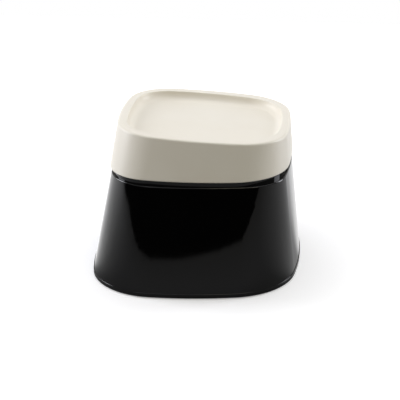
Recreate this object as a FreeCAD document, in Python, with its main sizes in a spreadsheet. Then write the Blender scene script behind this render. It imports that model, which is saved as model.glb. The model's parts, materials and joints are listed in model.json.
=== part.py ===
import FreeCAD, Part
import math
import os
import Sketcher

# Raised pet bowl: a tilted dish moulded in one with a deep skirt, which slips over
# the spigot of a hollow tapered stand on four rubber feet.
# Millimetres. +Z is up and z = 0 is the floor. The origin is under the middle of the
# base. The rim is high at the -X end and low at the +X end, and -Y is the front.

# Driving sizes: name, value, meaning
SIZES = [
    ("stand_low_end_turn", 9.0, "degrees of the low end's bow, from its middle to a corner"),
    ("stand_low_side_turn", 12.0, "degrees of a side's bow, widest point to the low corner"),
    ("stand_high_side_turn", 1.5, "degrees of a side's bow, widest point to the high corner"),
    ("stand_high_end_turn", 9.0, "degrees of the high end's bow, from its middle to a corner"),
    ("base_half_length", 99.8, "base outline, middle to either end"),
    ("base_half_width", 109.3, "base outline, middle to the widest point of a side"),
    ("base_high_corner", 62.5, "corner radius of the base at the high end"),
    ("base_low_corner", 67.0, "corner radius of the base at the low end"),
    ("base_edge_round", 0.8, "rounding of the lower edge of the stand"),
    ("band_height", 4.2, "upright band round the foot of the stand"),
    ("band_step", 0.6, "how far the band stands out from the foot of the taper"),
    ("band_round", 0.4, "rounding of the band's upper edge"),
    ("stand_wall", 3.0, "wall of the stand"),
    ("shoulder_height", 102.0, "floor to the ledge of the stand"),
    ("shoulder_shift", 4.5, "middle of the shoulder, from the middle of the base"),
    ("shoulder_half_length", 84.6, "shoulder outline, middle to either end"),
    ("shoulder_half_width", 90.1, "shoulder outline, middle to the widest point"),
    ("shoulder_high_corner", 45.0, "corner radius of the shoulder, high end"),
    ("shoulder_low_corner", 39.5, "corner radius of the shoulder, low end"),
    ("shoulder_round", 1.0, "rounding of the shoulder's outer edge"),
    ("spigot_round", 1.5, "rounding of the spigot's top edge"),
    ("shadow_gap", 5.0, "gap left between the ledge and the skirt's edge"),
    ("fit_clearance", 0.4, "gap all round between the spigot and the skirt"),
    ("deck_rib_depth", 6.0, "depth of the ribs under the deck"),
    ("deck_rib_spacing", 60.0, "distance between the two deck ribs that run across"),
    ("rib_thickness", 2.0, "thickness of every rib"),
    ("bowl_low_end_turn", 5.5, "degrees of the bowl's four bows in the same way: its low end"),
    ("bowl_low_side_turn", 9.0, "degrees of a side, toward the low corner"),
    ("bowl_high_side_turn", 6.0, "degrees of a side, toward the high corner"),
    ("bowl_high_end_turn", 7.5, "degrees of its high end"),
    ("bowl_wall", 3.0, "wall of the skirt, the rim and the dish"),
    ("skirt_overhang", 0.4, "skirt's edge outside the shoulder"),
    ("skirt_high_corner", 41.0, "corner radius of the skirt's edge, high end"),
    ("skirt_low_corner", 56.5, "corner radius of the skirt's edge, low end"),
    ("skirt_edge_round", 0.8, "rounding of the skirt's lower outer edge"),
    ("skirt_height", 35.5, "skirt's edge to the rim, above the origin"),
    ("blank_rise", 6.0, "height of the skirt above the rim before its slope is cut"),
    ("rim_tilt", 2.85, "degrees of slope of the rim and the dish"),
    ("rim_shift", 6.0, "middle of the rim, from the middle of the base"),
    ("rim_half_length", 80.6, "rim outline, middle to either end"),
    ("rim_half_width", 78.4, "rim outline, middle to the widest point"),
    ("rim_high_corner", 43.5, "corner radius of the rim, high end"),
    ("rim_low_corner", 47.0, "corner radius of the rim, low end"),
    ("rim_round", 2.4, "rounding of the rim's outer edge"),
    ("rim_end_width", 8.4, "rim at either end, outer edge to the dish"),
    ("rim_side_width", 10.2, "rim at the front and back, outer edge to the dish"),
    ("dish_offset", 0.8, "middle of the dish, from the middle of the rim"),
    ("dish_high_corner", 34.0, "corner radius of the dish, high end"),
    ("dish_low_corner", 41.0, "corner radius of the dish, low end"),
    ("dish_edge_round", 0.8, "rounding where the rim turns into the dish"),
    ("dish_depth", 8.0, "rim to the floor of the dish"),
    ("dish_lean", 14.0, "degrees that the dish wall leans from upright"),
    ("dish_wall_height", 2.4, "straight stretch of the dish wall, above its cove"),
    ("dish_clearance", 13.5, "deck to the underside of the dish, above the origin"),
    ("rest_rib_reach", 12.0, "reach of a rest rib, inward from the skirt"),
    ("rest_rib_spacing", 70.0, "distance between the two rest ribs of a side"),
    ("foot_radius", 6.0, "radius of a rubber foot"),
    ("foot_stand_off", 0.8, "how far a foot lifts the stand off the floor"),
    ("foot_round", 0.5, "rounding of a foot's lower edge"),
    ("foot_clearance", 0.3, "gap round a foot in its socket"),
    ("socket_depth", 1.8, "depth of a foot's socket"),
    ("boss_wall", 2.2, "wall round a foot's socket"),
    ("boss_bite", 1.0, "how far a boss runs into the wall of the stand"),
]

# Sizes worked out on the sheet from the driving ones
DERIVED = [
    ("base_shift", "0"),
    ("skirt_shift", "shoulder_shift"),
    ("skirt_half_length", "shoulder_half_length + skirt_overhang"),
    ("skirt_half_width", "shoulder_half_width + skirt_overhang"),
    ("dish_shift", "rim_shift + dish_offset"),
    ("dish_half_length", "rim_half_length - rim_end_width"),
    ("dish_half_width", "rim_half_width - rim_side_width"),
    ("skirt_edge_z", "shoulder_height + shadow_gap"),
    ("rim_z", "skirt_edge_z + skirt_height"),
    ("deck_z", "rim_z - dish_depth - bowl_wall - dish_clearance"),
    ("beyond_length", "skirt_half_length + rim_half_length"),
    ("beyond_width", "skirt_half_width + rim_half_width"),
    ("cove_radius", "(dish_depth / cos(dish_lean) - dish_wall_height) / tan(45 - dish_lean / 2)"),
    ("band_top_z", "foot_stand_off + band_height"),
    ("spigot_inset", "bowl_wall + fit_clearance"),
    ("boss_radius", "foot_radius + foot_clearance + boss_wall"),
    ("foot_inset", "band_step + stand_wall - boss_bite + boss_radius"),
]

# Each outline, with the piece whose turns it takes. Outlines that share their turns
# have walls between them that are smooth all round.
OUTLINE_TURNS = {
    "base": "stand",
    "shoulder": "stand",
    "skirt": "bowl",
    "rim": "bowl",
    "dish": "bowl",
}

HIGH, LOW = -1, 1
FRONT, BACK = -1, 1
ARC_START, ARC_END, CENTRE = range(1, 4)
ORIGIN_POINT = (-1, 1)
X_AXIS = -1
THROUGH_ALL = 1
TOLERANCE = 1e-4


def bow_formulas(name, piece):
    """Radii of an outline's bowed ends and sides, from its size, corners and turns."""
    length, width = f"{name}_half_length", f"{name}_half_width"
    low, high = f"{name}_low_corner", f"{name}_high_corner"
    low_end, high_end = f"{piece}_low_end_turn", f"{piece}_high_end_turn"
    low_side, high_side = f"{piece}_low_side_turn", f"{piece}_high_side_turn"

    def corner_share(corner, end, side):
        return (f"{corner} * (tan({end} / 2) * (cos({side}) - sin({end}))"
                f" - cos({end}) + sin({side}))")

    def end_radius(corner, end, side):
        return (f"({width} - {corner} * (cos({side}) - sin({end}))"
                f" - {name}_side * (1 - cos({side}))) / sin({end})")

    side_radius = (f"(2 * {length} - (tan({low_end} / 2) + tan({high_end} / 2)) * {width}"
                   f" + {corner_share(low, low_end, low_side)}"
                   f" + {corner_share(high, high_end, high_side)})"
                   f" / (sin({low_side}) + sin({high_side})"
                   f" - tan({low_end} / 2) * (1 - cos({low_side}))"
                   f" - tan({high_end} / 2) * (1 - cos({high_side})))")
    side_x = (f"{name}_shift + {length} - {name}_low_end * (1 - cos({low_end}))"
              f" - {low} * (cos({low_end}) - sin({low_side}))"
              f" - {name}_side * sin({low_side})")
    return [
        (f"{name}_side", side_radius),
        (f"{name}_low_end", end_radius(low, low_end, low_side)),
        (f"{name}_high_end", end_radius(high, high_end, high_side)),
        (f"{name}_side_x", side_x),
    ]


class Outline:
    """Four bowed sides joined by four round corners, the same front and back.

    Every size is a formula on the sheet. An inset keeps all the arc centres, so
    a wall between an outline and its inset has one thickness all round.
    """

    MIDDLES = ("shift", "side_x")
    REACHES = ("half_length", "half_width", "side", "low_end", "high_end",
               "low_corner", "high_corner")

    def __init__(self, sizes):
        self.sizes = sizes

    def __getitem__(self, size):
        return self.sizes[size]

    def inset(self, amount):
        sizes = {size: self[size] for size in self.MIDDLES}
        sizes.update({size: f"({self[size]} - ({amount}))" for size in self.REACHES})
        return Outline(sizes)

    def toward(self, other, share):
        """The outline of the wall from this one to the other, at a share of the way."""
        return Outline({size: f"({self[size]} + ({other[size]} - {self[size]}) * {share})"
                        for size in self.MIDDLES + self.REACHES})


def named_outline(name):
    return Outline({size: f"Sizes.{name}_{size}" for size in Outline.MIDDLES + Outline.REACHES})


BASE = named_outline("base")
SHOULDER = named_outline("shoulder")
SKIRT = named_outline("skirt")
RIM = named_outline("rim")
DISH = named_outline("dish")


def skirt_at(height, inset):
    """Outline of the skirt's wall at a height, above its rim or below its edge too."""
    share = f"(({height} - Sizes.skirt_edge_z) / Sizes.skirt_height)"
    return SKIRT.inset(inset).toward(RIM.inset(inset), share)


def make_sheet(doc):
    sheet = doc.addObject("Spreadsheet::Sheet", "Sizes")
    rows = [(name, str(value), meaning) for name, value, meaning in SIZES]
    derived = list(DERIVED)
    for name, piece in OUTLINE_TURNS.items():
        derived += bow_formulas(name, piece)
    rows += [(name, f"={formula}", "worked out") for name, formula in derived]
    for row, (name, content, meaning) in enumerate(rows, start=1):
        sheet.set(f"A{row}", name)
        sheet.set(f"B{row}", content)
        sheet.set(f"C{row}", meaning)
        sheet.setAlias(f"B{row}", name)
    doc.recompute()
    return sheet


def value_of(owner, formula):
    return float(owner.evalExpression(formula))


def new_body(doc, name):
    body = doc.addObject("PartDesign::Body", name)
    body.Label = name
    return body


def new_sketch(body, name, height, tilted=False):
    """Sketch on the body's ground plane, raised and, for the rim, sloped."""
    plane = next(item for item in body.Origin.OriginFeatures if item.Role == "XY_Plane")
    sketch = body.newObject("Sketcher::SketchObject", name)
    sketch.AttachmentSupport = (plane, [""])
    sketch.MapMode = "FlatFace"
    if tilted:
        slope = FreeCAD.Rotation(FreeCAD.Vector(0, 1, 0), value_of(sketch, "Sizes.rim_tilt"))
        sketch.AttachmentOffset = FreeCAD.Placement(FreeCAD.Vector(), slope)
        sketch.setExpression("AttachmentOffset.Rotation.Angle", "Sizes.rim_tilt")
    sketch.setExpression("AttachmentOffset.Base.z", height)
    return sketch


def constrain(sketch, name, kind, *references, formula):
    """Named sketch dimension that follows a formula on the sheet."""
    start = value_of(sketch, formula)
    index = sketch.addConstraint(Sketcher.Constraint(kind, *references, start))
    sketch.renameConstraint(index, name)
    sketch.setExpression(f"Constraints.{name}", formula)


def corner_centre(end_x, end_reach, side_x, side_y, side_reach, way):
    """Centre of the corner arc that touches an end arc and the back side arc."""
    across = side_x - end_x
    span = math.hypot(across, side_y)
    along = (end_reach ** 2 - side_reach ** 2 + span ** 2) / (2 * span)
    off = math.sqrt(end_reach ** 2 - along ** 2)
    foot_x = end_x + along * across / span
    foot_y = along * side_y / span
    return foot_x - way * off * side_y / span, foot_y + way * off * across / span


def draw_outline(sketch, outline):
    """Draw the eight arcs, and return the corner arcs by end and side."""
    size = {name: value_of(sketch, formula) for name, formula in outline.sizes.items()}
    side, side_x, side_y = size["side"], size["side_x"], size["half_width"] - size["side"]
    end = {LOW: size["low_end"], HIGH: size["high_end"]}
    corner = {LOW: size["low_corner"], HIGH: size["high_corner"]}
    end_x, centre, end_turn, side_turn = {}, {}, {}, {}
    for way in (HIGH, LOW):
        end_x[way] = size["shift"] + way * (size["half_length"] - end[way])
        centre[way] = corner_centre(end_x[way], end[way] - corner[way], side_x, side_y,
                                    side - corner[way], way)
        end_turn[way] = math.atan2(centre[way][1], centre[way][0] - end_x[way])
        side_turn[way] = math.atan2(centre[way][1] - side_y, centre[way][0] - side_x)

    full = 2 * math.pi
    arcs = [
        (end_x[LOW], 0, end[LOW], -end_turn[LOW], end_turn[LOW]),
        (*centre[LOW], corner[LOW], end_turn[LOW], side_turn[LOW]),
        (side_x, side_y, side, side_turn[LOW], side_turn[HIGH]),
        (*centre[HIGH], corner[HIGH], side_turn[HIGH], end_turn[HIGH]),
        (end_x[HIGH], 0, end[HIGH], end_turn[HIGH], full - end_turn[HIGH]),
        (centre[HIGH][0], -centre[HIGH][1], corner[HIGH],
         full - end_turn[HIGH], full - side_turn[HIGH]),
        (side_x, -side_y, side, full - side_turn[HIGH], full - side_turn[LOW]),
        (centre[LOW][0], -centre[LOW][1], corner[LOW],
         full - side_turn[LOW], full - end_turn[LOW]),
    ]
    up = FreeCAD.Vector(0, 0, 1)
    for x, y, radius, start, stop in arcs:
        circle = Part.Circle(FreeCAD.Vector(x, y, 0), up, radius)
        sketch.addGeometry(Part.ArcOfCircle(circle, start, stop), False)
    low_end, low_back, back, high_back, high_end, high_front, front, low_front = range(8)
    for arc in range(8):
        following = (arc + 1) % 8
        sketch.addConstraint(Sketcher.Constraint("Tangent", arc, ARC_END, following, ARC_START))

    for name, arc, sign in (("low_end", low_end, "+"), ("high_end", high_end, "-")):
        sketch.addConstraint(Sketcher.Constraint("PointOnObject", arc, CENTRE, X_AXIS))
        constrain(sketch, f"{name}_radius", "Radius", arc, formula=outline[name])
        constrain(sketch, f"{name}_x", "DistanceX", *ORIGIN_POINT, arc, CENTRE,
                  formula=f"{outline['shift']} {sign} ({outline['half_length']} - {outline[name]})")
    for name, arc, sign in (("back", back, 1), ("front", front, -1)):
        constrain(sketch, f"{name}_radius", "Radius", arc, formula=outline["side"])
        constrain(sketch, f"{name}_x", "DistanceX", *ORIGIN_POINT, arc, CENTRE,
                  formula=outline["side_x"])
        constrain(sketch, f"{name}_y", "DistanceY", *ORIGIN_POINT, arc, CENTRE,
                  formula=f"{sign} * ({outline['half_width']} - {outline['side']})")
    corners = {
        (LOW, BACK): low_back,
        (HIGH, BACK): high_back,
        (HIGH, FRONT): high_front,
        (LOW, FRONT): low_front,
    }
    for (way, _), arc in corners.items():
        constrain(sketch, f"corner_radius_{arc}", "Radius", arc,
                  formula=outline["low_corner" if way == LOW else "high_corner"])
    return corners


def outline_sketch(body, name, outline, height, tilted=False):
    sketch = new_sketch(body, name, height, tilted)
    draw_outline(sketch, outline)
    return sketch


def add_loft(body, name, lower, upper, kind="PartDesign::AdditiveLoft"):
    loft = body.newObject(kind, name)
    loft.Profile = lower
    loft.Sections = [upper]
    loft.Ruled = True
    body.Document.recompute()
    return loft


def add_pad(body, name, sketch, length):
    pad = body.newObject("PartDesign::Pad", name)
    pad.Profile = sketch
    pad.setExpression("Length", length)
    body.Document.recompute()
    return pad


def check_cut(feature, before):
    if before - feature.Shape.Volume < TOLERANCE:
        raise RuntimeError(f"{feature.Name} removes nothing")


def add_pocket(body, name, sketch, depth=None, upward=True):
    before = body.Tip.Shape.Volume
    pocket = body.newObject("PartDesign::Pocket", name)
    pocket.Profile = sketch
    pocket.Reversed = upward
    if depth is None:
        pocket.Type = THROUGH_ALL
    else:
        pocket.setExpression("Length", depth)
    body.Document.recompute()
    check_cut(pocket, before)
    return pocket


def flat_face(shape, height, slope=0.0):
    """The flat face whose corners all lie at this height, less the slope along X."""
    for face in shape.Faces:
        level = all(abs(point.Z - height + slope * point.X) < TOLERANCE
                    for point in face.Vertexes)
        if level and isinstance(face.Surface, Part.Plane):
            return face
    raise RuntimeError(f"no flat face at height {height}")


def round_edges(body, name, wires, radius):
    """Round every edge of these wires of the body's last feature."""
    base = body.Tip
    wanted = [edge for wire in wires for edge in wire.Edges]
    names = [f"Edge{number}" for number, edge in enumerate(base.Shape.Edges, start=1)
             if any(edge.isSame(other) for other in wanted)]
    fillet = body.newObject("PartDesign::Fillet", name)
    fillet.Base = (base, names)
    fillet.setExpression("Radius", radius)
    body.Document.recompute()
    return fillet


def inner_wires(face):
    return [wire for wire in face.Wires if not wire.isSame(face.OuterWire)]


def draw_rectangle(sketch, name, left, right, front, back):
    """Rectangle whose four sides stand at formulas on the sheet."""
    x_left, x_right = value_of(sketch, left), value_of(sketch, right)
    y_front, y_back = value_of(sketch, front), value_of(sketch, back)
    points = [(x_left, y_front), (x_right, y_front), (x_right, y_back), (x_left, y_back)]
    vectors = [FreeCAD.Vector(x, y, 0) for x, y in points]
    first = sketch.GeometryCount
    for index in range(4):
        line = Part.LineSegment(vectors[index], vectors[(index + 1) % 4])
        sketch.addGeometry(line, False)
        direction = "Vertical" if index % 2 else "Horizontal"
        sketch.addConstraint(Sketcher.Constraint(direction, first + index))
    for index in range(4):
        following = first + (index + 1) % 4
        sketch.addConstraint(
            Sketcher.Constraint("Coincident", first + index, ARC_END, following, ARC_START))
    constrain(sketch, f"{name}_left", "DistanceX", *ORIGIN_POINT, first, ARC_START,
              formula=left)
    constrain(sketch, f"{name}_right", "DistanceX", *ORIGIN_POINT, first + 1, ARC_START,
              formula=right)
    constrain(sketch, f"{name}_front", "DistanceY", *ORIGIN_POINT, first, ARC_START,
              formula=front)
    constrain(sketch, f"{name}_back", "DistanceY", *ORIGIN_POINT, first + 2, ARC_START,
              formula=back)


def tilt_slope(owner):
    return math.tan(math.radians(value_of(owner, "Sizes.rim_tilt")))


def add_skirt(body, name, inset, top_z):
    """Wall from the skirt's edge past the rim, cut off along the slope."""
    blank_z = "Sizes.rim_z + Sizes.blank_rise"
    edge = outline_sketch(body, f"{name}_edge", SKIRT.inset(inset), "Sizes.skirt_edge_z")
    blank_top = outline_sketch(body, f"{name}_blank_top", skirt_at(blank_z, inset), blank_z)
    add_loft(body, f"{name}_loft", edge, blank_top)
    slope = new_sketch(body, f"{name}_slope", top_z, tilted=True)
    draw_rectangle(slope, "slope", "-Sizes.beyond_length", "Sizes.beyond_length",
                   "-Sizes.beyond_width", "Sizes.beyond_width")
    add_pocket(body, f"{name}_slope_cut", slope)


def sink_dish(body, name, growth):
    """Sink the dish into the body, grown by a wall, with the cove round its floor."""
    outline = DISH.inset(f"-({growth})")
    top = outline_sketch(body, f"{name}_top", outline, "Sizes.rim_z", tilted=True)
    depth = f"(Sizes.dish_depth + {growth})"
    floor_z = f"Sizes.rim_z - {depth}"
    floor_outline = outline.inset(f"{depth} * tan(Sizes.dish_lean)")
    floor = outline_sketch(body, f"{name}_floor", floor_outline, floor_z, tilted=True)
    before = body.Tip.Shape.Volume
    sunk = add_loft(body, f"{name}_hollow", top, floor, "PartDesign::SubtractiveLoft")
    check_cut(sunk, before)
    face = flat_face(sunk.Shape, value_of(sunk, floor_z), tilt_slope(sunk))
    round_edges(body, f"{name}_cove", [face.OuterWire], "Sizes.cove_radius")


def make_bowl_outside(doc):
    """Skirt and rim as one solid, with the dish sunk into its sloping top."""
    body = new_body(doc, "bowl_outside")
    add_skirt(body, "skirt", "0", "Sizes.rim_z")
    rim_z, slope = value_of(body.Tip, "Sizes.rim_z"), tilt_slope(body.Tip)
    bottom = flat_face(body.Tip.Shape, value_of(body.Tip, "Sizes.skirt_edge_z"))
    round_edges(body, "skirt_edge_fillet", [bottom.OuterWire], "Sizes.skirt_edge_round")
    sink_dish(body, "dish", "0")
    rim_face = flat_face(body.Tip.Shape, rim_z, slope)
    round_edges(body, "dish_edge_fillet", inner_wires(rim_face), "Sizes.dish_edge_round")
    rim_face = flat_face(body.Tip.Shape, rim_z, slope)
    round_edges(body, "rim_fillet", [rim_face.OuterWire], "Sizes.rim_round")
    return body


def draw_rest_ribs(sketch):
    """Two rest ribs on each of the four sides, from beyond the bowl inward."""
    half_rib = "Sizes.rib_thickness / 2"
    middle, length, width = SKIRT["shift"], SKIRT["half_length"], SKIRT["half_width"]
    reach = "(Sizes.bowl_wall + Sizes.rest_rib_reach)"
    for row, sign in (("a", "-"), ("b", "+")):
        across = f"{sign} Sizes.rest_rib_spacing / 2"
        along = f"{middle} {across}"
        draw_rectangle(sketch, f"high_{row}", "-Sizes.beyond_length",
                       f"{middle} - {length} + {reach}",
                       f"{across} - {half_rib}", f"{across} + {half_rib}")
        draw_rectangle(sketch, f"low_{row}", f"{middle} + {length} - {reach}",
                       "Sizes.beyond_length",
                       f"{across} - {half_rib}", f"{across} + {half_rib}")
        draw_rectangle(sketch, f"front_{row}", f"{along} - {half_rib}", f"{along} + {half_rib}",
                       "-Sizes.beyond_width", f"-{width} + {reach}")
        draw_rectangle(sketch, f"back_{row}", f"{along} - {half_rib}", f"{along} + {half_rib}",
                       f"{width} - {reach}", "Sizes.beyond_width")


def make_bowl_core(doc):
    """Space under the bowl: inside the skirt, round the dish and between the ribs."""
    body = new_body(doc, "bowl_core")
    add_skirt(body, "core", "Sizes.bowl_wall", "Sizes.rim_z - Sizes.bowl_wall")
    sink_dish(body, "bulge", "Sizes.bowl_wall")
    ribs = new_sketch(body, "rest_ribs", "Sizes.deck_z")
    draw_rest_ribs(ribs)
    add_pocket(body, "rest_rib_slots", ribs)
    return body


def add_spigot(body, name, inset, lower_z, upper_z):
    """Upright neck as high as the skirt's edge, then a spigot that leans in with the skirt."""
    neck_outline = SKIRT.inset(inset)
    neck = outline_sketch(body, f"{name}_neck_outline", neck_outline, lower_z)
    add_pad(body, f"{name}_neck", neck, f"Sizes.skirt_edge_z - ({lower_z})")
    lower = outline_sketch(body, f"{name}_lower", neck_outline, "Sizes.skirt_edge_z")
    upper = outline_sketch(body, f"{name}_upper", skirt_at(upper_z, inset), upper_z)
    return add_loft(body, name, lower, upper)


def make_stand_outside(doc):
    """Upright band, tapered wall, ledge and spigot of the stand."""
    body = new_body(doc, "stand_outside")
    foot = outline_sketch(body, "base_edge", BASE, "Sizes.foot_stand_off")
    add_pad(body, "band", foot, "Sizes.band_height")
    lower = outline_sketch(body, "taper_foot", BASE.inset("Sizes.band_step"), "Sizes.band_top_z")
    upper = outline_sketch(body, "taper_top", SHOULDER, "Sizes.shoulder_height")
    taper = add_loft(body, "taper", lower, upper)
    step = flat_face(taper.Shape, value_of(taper, "Sizes.band_top_z"))
    round_edges(body, "band_fillet", [step.OuterWire], "Sizes.band_round")
    spigot = add_spigot(body, "spigot", "Sizes.spigot_inset", "Sizes.shoulder_height",
                        "Sizes.deck_z")
    deck = flat_face(spigot.Shape, value_of(spigot, "Sizes.deck_z"))
    round_edges(body, "spigot_fillet", [deck.OuterWire], "Sizes.spigot_round")
    ledge = flat_face(body.Tip.Shape, value_of(spigot, "Sizes.shoulder_height"))
    round_edges(body, "shoulder_fillet", [ledge.OuterWire], "Sizes.shoulder_round")
    bottom = flat_face(body.Tip.Shape, value_of(spigot, "Sizes.foot_stand_off"))
    round_edges(body, "base_fillet", [bottom.OuterWire], "Sizes.base_edge_round")
    return body


def foot_name(way, side):
    end = "low" if way == LOW else "high"
    face = "front" if side == FRONT else "back"
    return f"foot_{end}_{face}"


def foot_sketch(body, name, radius):
    """A circle in each corner of the base, on the diagonal of the corner's arc.

    The base outline is construction only. The circles' places are measured too,
    so that the feet can follow them.
    """
    sketch = new_sketch(body, name, "Sizes.foot_stand_off")
    corners = draw_outline(sketch, BASE)
    for arc in range(8):
        sketch.toggleConstruction(arc)
    up = FreeCAD.Vector(0, 0, 1)
    for (way, side), arc in corners.items():
        corner = BASE["low_corner" if way == LOW else "high_corner"]
        offset = f"({corner} - Sizes.foot_inset) * sqrt(0.5)"
        place = sketch.Geometry[arc].Center
        place += FreeCAD.Vector(way, side, 0) * value_of(sketch, offset)
        circle = sketch.addGeometry(Part.Circle(place, up, value_of(sketch, radius)), False)
        foot = foot_name(way, side)
        constrain(sketch, f"{foot}_radius", "Radius", circle, formula=radius)
        constrain(sketch, f"{foot}_along", "DistanceX", arc, CENTRE, circle, CENTRE,
                  formula=f"{way} * {offset}")
        constrain(sketch, f"{foot}_across", "DistanceY", arc, CENTRE, circle, CENTRE,
                  formula=f"{side} * {offset}")
        for axis, distance in (("x", place.x), ("y", place.y)):
            measure = sketch.addConstraint(Sketcher.Constraint(
                f"Distance{axis.upper()}", *ORIGIN_POINT, circle, CENTRE, distance))
            sketch.setDriving(measure, False)
            sketch.renameConstraint(measure, f"{foot}_{axis}")
    return sketch


def cut_deck_ribs(body):
    """Slots for the ribs under the deck: one along it, and two across."""
    half_rib = "Sizes.rib_thickness / 2"
    along = new_sketch(body, "rib_along", "Sizes.deck_z - Sizes.stand_wall")
    draw_rectangle(along, "along", "-Sizes.beyond_length", "Sizes.beyond_length",
                   f"-{half_rib}", half_rib)
    add_pocket(body, "rib_along_slot", along, "Sizes.deck_rib_depth", upward=False)
    across = new_sketch(body, "ribs_across", "Sizes.deck_z - Sizes.stand_wall")
    for row, sign in (("a", "-"), ("b", "+")):
        place = f"{SKIRT['shift']} {sign} Sizes.deck_rib_spacing / 2"
        draw_rectangle(across, f"across_{row}", f"{place} - {half_rib}",
                       f"{place} + {half_rib}", "-Sizes.beyond_width", "Sizes.beyond_width")
    add_pocket(body, "rib_across_slots", across, "Sizes.deck_rib_depth", upward=False)


def make_stand_core(doc):
    """Space inside the stand, less the foot bosses and the ribs under the deck."""
    body = new_body(doc, "stand_core")
    hollow = BASE.inset("Sizes.band_step + Sizes.stand_wall")
    roof_z = "Sizes.shoulder_height - Sizes.stand_wall"
    foot = outline_sketch(body, "hollow_foot", hollow, "Sizes.foot_stand_off")
    add_pad(body, "hollow_band", foot, "Sizes.band_height")
    lower = outline_sketch(body, "hollow_lower", hollow, "Sizes.band_top_z")
    upper = outline_sketch(body, "hollow_upper", SHOULDER.inset("Sizes.stand_wall"), roof_z)
    add_loft(body, "hollow_taper", lower, upper)
    add_spigot(body, "hollow_spigot", "Sizes.spigot_inset + Sizes.stand_wall", roof_z,
               "Sizes.deck_z - Sizes.stand_wall")
    add_pocket(body, "boss_slots", foot_sketch(body, "boss_layout", "Sizes.boss_radius"))
    cut_deck_ribs(body)
    sockets = foot_sketch(body, "socket_layout", "Sizes.foot_radius + Sizes.foot_clearance")
    add_pad(body, "sockets", sockets, "Sizes.socket_depth")
    return body


def make_foot(doc, way, side, layout):
    """Rubber pad seated in its socket and standing proud of the base."""
    name = foot_name(way, side)
    body = new_body(doc, name)
    sketch = new_sketch(body, f"{name}_outline", "0")
    circle = Part.Circle(FreeCAD.Vector(), FreeCAD.Vector(0, 0, 1),
                         value_of(sketch, "Sizes.foot_radius"))
    sketch.addGeometry(circle, False)
    sketch.addConstraint(Sketcher.Constraint("Coincident", 0, CENTRE, *ORIGIN_POINT))
    constrain(sketch, "radius", "Radius", 0, formula="Sizes.foot_radius")
    pad = add_pad(body, f"{name}_pad", sketch, "Sizes.foot_stand_off + Sizes.socket_depth")
    sole = flat_face(pad.Shape, 0)
    round_edges(body, f"{name}_fillet", [sole.OuterWire], "Sizes.foot_round")
    for axis in ("x", "y"):
        body.setExpression(f"Placement.Base.{axis}", f"{layout.Name}.Constraints.{name}_{axis}")
    return body


def cut_core(doc, name, outside, core):
    piece = doc.addObject("Part::Cut", name)
    piece.Label = name
    piece.Base = outside
    piece.Tool = core
    return piece


def check(doc, pieces):
    for item in doc.Objects:
        if "Invalid" in item.State or "Error" in item.State:
            raise RuntimeError(f"{item.Name} failed: {item.State}")
    for piece in pieces:
        shape = piece.Shape
        if shape.isNull() or not shape.isValid() or len(shape.Solids) != 1:
            raise RuntimeError(f"{piece.Label} is not one valid solid")


def main():
    doc = FreeCAD.newDocument("pet_bowl")
    make_sheet(doc)
    bowl = cut_core(doc, "bowl", make_bowl_outside(doc), make_bowl_core(doc))
    stand = cut_core(doc, "stand", make_stand_outside(doc), make_stand_core(doc))
    layout = doc.getObject("socket_layout")
    feet = [make_foot(doc, way, side, layout) for way in (HIGH, LOW) for side in (FRONT, BACK)]
    doc.recompute()
    pieces = [bowl, stand] + feet
    check(doc, pieces)
    os.makedirs("parts", exist_ok=True)
    for piece in pieces:
        piece.Shape.exportStep(f"parts/{piece.Label}.step")
        box = piece.Shape.BoundBox
        print(f"{piece.Label}: {piece.Shape.Volume:.0f} mm3, "
              f"x {box.XMin:.2f} to {box.XMax:.2f}, y {box.YMin:.2f} to {box.YMax:.2f}, "
              f"z {box.ZMin:.2f} to {box.ZMax:.2f}")


main()
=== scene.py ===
import json
import math

import bpy
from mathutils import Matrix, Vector

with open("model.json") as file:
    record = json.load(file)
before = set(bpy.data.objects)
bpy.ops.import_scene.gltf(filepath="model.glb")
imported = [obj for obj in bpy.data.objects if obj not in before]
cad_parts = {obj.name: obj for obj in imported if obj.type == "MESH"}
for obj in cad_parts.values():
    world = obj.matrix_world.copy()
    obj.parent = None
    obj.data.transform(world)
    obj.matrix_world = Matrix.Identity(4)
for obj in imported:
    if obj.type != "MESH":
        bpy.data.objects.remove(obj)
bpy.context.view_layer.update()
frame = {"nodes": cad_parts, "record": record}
scene = bpy.context.scene
scene.view_settings.view_transform = "Standard"

# Plastics: noise scales per metre, how far roughness drifts, and the refractive index. A noise
# runs mostly between two values, which are spread over the whole range that it drives
DRIFT_SCALE, HANDLING_SCALE, WAVE_SCALE = 14.0, 45.0, 22.0
ROUGHNESS_DRIFT = 0.15
PLASTIC_INDEX = 1.5
NOISE_LOW, NOISE_HIGH = 0.35, 0.65

# Floor's edges in metres
FLOOR_LEFT, FLOOR_RIGHT, FLOOR_FRONT, FLOOR_BACK = -1.15, 0.8, -0.75, 0.95
# Floor's grey in reflections, its grey to the camera, and its roughness
FLOOR_GREY, FLOOR_SEEN_GREY, FLOOR_ROUGHNESS = 0.27, 0.85, 0.8
# The camera sees the floor lifted to white, less so near the object, which paints a shadow
# around it on top of its cast one: the two lifts, and how far from the object's middle they
# hold
LIFT_IN_PAINTED_SHADOW, LIFT_AWAY = 0.31, 0.55
NEAR, AWAY = 0.14, 0.3
# The ends of the line, under the front of the stand, that the floor's bearings are taken from
STAND_LEFT, STAND_RIGHT = (-0.085, -0.04, 0.0), (0.085, -0.04, 0.0)

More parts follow.
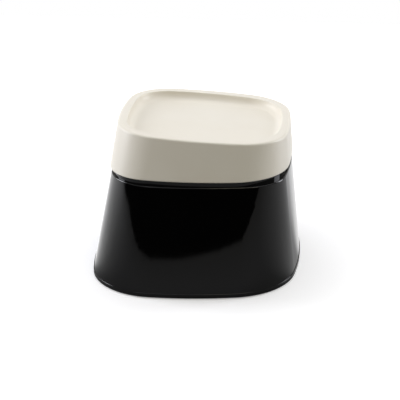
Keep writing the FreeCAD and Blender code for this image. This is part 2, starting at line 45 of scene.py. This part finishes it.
# Greys by bearing, in turns from behind the object (0) past its left (0.25), its front (0.5)
# and its right (0.75): the floor's glow in reflections, and the walls of the room
FLOOR_GLOW = [(0.0, 1.0), (0.14, 1.0), (0.18, 0.85), (0.21, 0.75), (0.25, 0.5),
              (0.29, 0.25), (0.34, 0.1), (0.39, 0.02), (0.62, 0.02), (0.66, 0.09),
              (0.72, 0.2), (0.79, 0.3), (0.93, 0.25), (0.955, 0.85), (1.0, 0.85)]
WALL_GREYS = [(0.0, 1.0), (0.2, 1.0), (0.23, 0.75), (0.27, 0.13), (0.285, 0.01), (0.64, 0.01),
              (0.66, 0.18), (0.78, 0.38), (0.9, 0.6), (0.94, 1.2), (1.0, 1.1)]
# The walls turn into the ceiling between these heights of a unit direction
CEILING_LOW, CEILING_HIGH, CEILING_GREY = 0.17, 0.42, 0.4

# Softboxes, all aimed at the object's middle: place, width, height, power and colour
OBJECT_MIDDLE = (0, 0, 0.08)
COOL, WARM = (0.98, 0.99, 1.06), (1.0, 0.9, 0.6)
SOFTBOXES = {
    "top": ((0, 0.25, 1.1), 0.9, 0.9, 4.2, COOL),
    "key": ((-1.0, 0.12, 0.5), 0.5, 0.5, 6.8, COOL),
    "side": ((0.88, 0.38, 0.35), 0.3, 0.7, 4.0, COOL),
    "fill": ((0.5, -1.0, 1.0), 0.8, 0.8, 2.2, WARM),
}

# Camera: angles and distance from its target in metres, and its focal length in pixels of a
# picture of this width
AZIMUTH, ELEVATION, DISTANCE = math.radians(5.843), math.radians(22.0), 1.2
TARGET = Vector((1.051, 0.108, 54.48)) / 1000
FOCAL_PIXELS, PICTURE_PIXELS, SENSOR_WIDTH = 1229.716, 400, 36


def srgb(red, green, blue):
    """Linear colour of an 8-bit display colour."""
    def linear(value):
        value /= 255
        return value / 12.92 if value <= 0.04045 else ((value + 0.055) / 1.055) ** 2.4
    return linear(red), linear(green), linear(blue), 1.0


def grey(value):
    """Neutral linear colour."""
    return value, value, value, 1.0


def new_material(name):
    """Material with its node tree and its shader."""
    material = bpy.data.materials.new(name)
    material.use_nodes = True
    return material, material.node_tree, material.node_tree.nodes["Principled BSDF"]


def add_node(tree, kind, inputs, **settings):
    """Node with its settings, and each of the inputs a value or another node's output."""
    node = tree.nodes.new(kind)
    for name, value in settings.items():
        setattr(node, name, value)
    for name, source in inputs.items():
        if isinstance(source, bpy.types.NodeSocket):
            tree.links.new(source, node.inputs[name])
        else:
            node.inputs[name].default_value = source
    return node


def object_position(tree):
    """Place in the object's own frame."""
    return add_node(tree, "ShaderNodeTexCoord", {}).outputs["Object"]


def map_range(tree, value, from_low, from_high, low=0.0, high=1.0):
    """Value from one range to another, held within its ends."""
    inputs = {"Value": value, "From Min": from_low, "From Max": from_high,
              "To Min": low, "To Max": high}
    return add_node(tree, "ShaderNodeMapRange", inputs).outputs["Result"]


def mix_colours(tree, factor, first, second):
    """Mix of two colours, each a value or another node's output."""
    inputs = {"Factor": factor, "A": first, "B": second}
    return add_node(tree, "ShaderNodeMix", inputs, data_type="RGBA").outputs["Result"]


def add_noise(tree, position, scale, detail):
    """Noise through the solid, around a half."""
    inputs = {"Vector": position, "Scale": scale, "Detail": detail}
    return add_node(tree, "ShaderNodeTexNoise", inputs).outputs["Fac"]


def moulded_plastic(name, colour, deep_colour, roughness, grain, grain_height, wave_height):
    """Moulded plastic: a slight drift of colour and roughness, fine grain and soft waves."""
    material, tree, shader = new_material(name)
    position = object_position(tree)

    drift = add_noise(tree, position, DRIFT_SCALE, detail=3.0)
    tone = mix_colours(tree, map_range(tree, drift, NOISE_LOW, NOISE_HIGH), colour, deep_colour)
    handling = add_noise(tree, position, HANDLING_SCALE, detail=5.0)
    polish = map_range(tree, handling, NOISE_LOW, NOISE_HIGH,
                       roughness * (1 - ROUGHNESS_DRIFT), roughness * (1 + ROUGHNESS_DRIFT))
    fine = add_noise(tree, position, grain, detail=2.0)
    grained = add_node(tree, "ShaderNodeBump", {"Height": fine, "Distance": grain_height})
    waves = add_noise(tree, position, WAVE_SCALE, detail=1.0)
    surface = add_node(tree, "ShaderNodeBump", {"Height": waves, "Distance": wave_height,
                                                "Normal": grained.outputs["Normal"]})

    tree.links.new(tone, shader.inputs["Base Color"])
    tree.links.new(polish, shader.inputs["Roughness"])
    tree.links.new(surface.outputs["Normal"], shader.inputs["Normal"])
    shader.inputs["IOR"].default_value = PLASTIC_INDEX
    return material


def dress_nodes():
    """Each node of the part in the material that its slot names."""
    materials = {
        "cream_plastic": moulded_plastic(
            "cream_plastic", srgb(238, 233, 220), srgb(235, 229, 215), roughness=0.38,
            grain=1800.0, grain_height=0.00002, wave_height=0.0),
        "black_plastic": moulded_plastic(
            "black_plastic", srgb(3, 3, 3), srgb(2, 2, 2), roughness=0.04,
            grain=2500.0, grain_height=0.000003, wave_height=0.00001),
        "foot_rubber": moulded_plastic(
            "foot_rubber", srgb(34, 34, 34), srgb(28, 28, 28), roughness=0.7,
            grain=1500.0, grain_height=0.00008, wave_height=0.0),
    }
    for part in frame["record"]["subparts"]:
        node = frame["nodes"][part["node"]]
        node.data.materials.clear()
        node.data.materials.append(materials[part["material_slot"]])


def grey_by_bearing(tree, vector, stops):
    """Grey by the bearing of a vector, one turn from behind the object and back there."""
    axes = add_node(tree, "ShaderNodeSeparateXYZ", {"Vector": vector})
    to_front = add_node(tree, "ShaderNodeMath", {0: axes.outputs["Y"], 1: -1.0},
                        operation="MULTIPLY")
    bearing = add_node(tree, "ShaderNodeMath",
                       {0: axes.outputs["X"], 1: to_front.outputs["Value"]},
                       operation="ARCTAN2")
    turn = map_range(tree, bearing.outputs["Value"], -math.pi, math.pi)
    ramp = add_node(tree, "ShaderNodeValToRGB", {"Fac": turn})
    elements = ramp.color_ramp.elements
    elements.remove(elements[-1])
    for index, (place, value) in enumerate(stops):
        stop = elements[0] if index == 0 else elements.new(place)
        stop.position = place
        stop.color = grey(value)
    return ramp.outputs["Color"]


def vector_from_stand(tree, position):
    """Vector to a position on the floor from the nearest point of the line under the stand."""
    after_left = add_node(tree, "ShaderNodeVectorMath", {0: position, 1: STAND_LEFT},
                          operation="MAXIMUM")
    nearest = add_node(tree, "ShaderNodeVectorMath",
                       {0: after_left.outputs["Vector"], 1: STAND_RIGHT}, operation="MINIMUM")
    away = add_node(tree, "ShaderNodeVectorMath", {0: position, 1: nearest.outputs["Vector"]},
                    operation="SUBTRACT")
    return away.outputs["Vector"]


def seen_by_camera(tree):
    """1 for what the camera sees itself, 0 for reflections and for light."""
    return add_node(tree, "ShaderNodeLightPath", {}).outputs["Is Camera Ray"]


def white_floor():
    """Floor's material: white with the object's cast shadow and a painted shadow around it, and
    dark with a glow in reflections.
    """
    material, tree, shader = new_material("floor_white")
    position = object_position(tree)
    seen = seen_by_camera(tree)
    colour = mix_colours(tree, seen, grey(FLOOR_GREY), grey(FLOOR_SEEN_GREY))
    glow = grey_by_bearing(tree, vector_from_stand(tree, position), FLOOR_GLOW)
    distance = add_node(tree, "ShaderNodeVectorMath", {0: position}, operation="LENGTH")
    # Painted shadow: the lift is smaller near the object's middle, which darkens the floor
    # around it
    lift_with_painted_shadow = map_range(tree, distance.outputs["Value"], NEAR, AWAY, LIFT_IN_PAINTED_SHADOW, LIFT_AWAY)
    tree.links.new(colour, shader.inputs["Base Color"])
    tree.links.new(mix_colours(tree, seen, glow, lift_with_painted_shadow), shader.inputs["Emission Color"])
    shader.inputs["Emission Strength"].default_value = 1.0
    shader.inputs["Roughness"].default_value = FLOOR_ROUGHNESS
    shader.inputs["Specular IOR Level"].default_value = 0.0
    return material


def add_floor():
    """Flat floor that the object stands on."""
    mesh = bpy.data.meshes.new("floor")
    corners = [(FLOOR_LEFT, FLOOR_FRONT, 0), (FLOOR_RIGHT, FLOOR_FRONT, 0),
               (FLOOR_RIGHT, FLOOR_BACK, 0), (FLOOR_LEFT, FLOOR_BACK, 0)]
    mesh.from_pydata(corners, [], [range(4)])
    mesh.materials.append(white_floor())
    floor = bpy.data.objects.new("floor", mesh)
    scene.collection.objects.link(floor)


def light_room():
    """White surroundings to the camera. In reflections, walls by bearing under a ceiling."""
    world = bpy.data.worlds.new("studio")
    scene.world = world
    world.use_nodes = True
    tree = world.node_tree
    direction = add_node(tree, "ShaderNodeTexCoord", {}).outputs["Generated"]
    walls = grey_by_bearing(tree, direction, WALL_GREYS)
    height = add_node(tree, "ShaderNodeSeparateXYZ", {"Vector": direction}).outputs["Z"]
    ceiling = map_range(tree, height, CEILING_LOW, CEILING_HIGH)
    room = mix_colours(tree, ceiling, walls, grey(CEILING_GREY))
    shown = mix_colours(tree, seen_by_camera(tree), room, grey(1.0))
    tree.links.new(shown, tree.nodes["Background"].inputs["Color"])


def add_softbox(name, place, width, height, power, colour):
    """Rectangular lamp that faces the object's middle."""
    lamp = bpy.data.lights.new(name, "AREA")
    lamp.shape = "RECTANGLE"
    lamp.size = width
    lamp.size_y = height
    lamp.energy = power
    lamp.color = colour
    softbox = bpy.data.objects.new(name, lamp)
    softbox.location = place
    softbox.rotation_mode = "QUATERNION"
    aim = Vector(OBJECT_MIDDLE) - Vector(place)
    softbox.rotation_quaternion = aim.to_track_quat("-Z", "Y")
    scene.collection.objects.link(softbox)


def add_camera():
    """Camera at the photograph's angle and distance."""
    back = Vector((math.sin(AZIMUTH) * math.cos(ELEVATION),
                   -math.cos(AZIMUTH) * math.cos(ELEVATION), math.sin(ELEVATION)))
    lens = bpy.data.cameras.new("camera")
    lens.sensor_width = SENSOR_WIDTH
    lens.lens = FOCAL_PIXELS / PICTURE_PIXELS * SENSOR_WIDTH
    camera = bpy.data.objects.new("camera", lens)
    camera.location = TARGET + back * DISTANCE
    camera.rotation_mode = "QUATERNION"
    camera.rotation_quaternion = (-back).to_track_quat("-Z", "Y")
    scene.collection.objects.link(camera)
    scene.camera = camera


dress_nodes()
add_floor()
light_room()
for name, settings in SOFTBOXES.items():
    add_softbox(name, *settings)
add_camera()
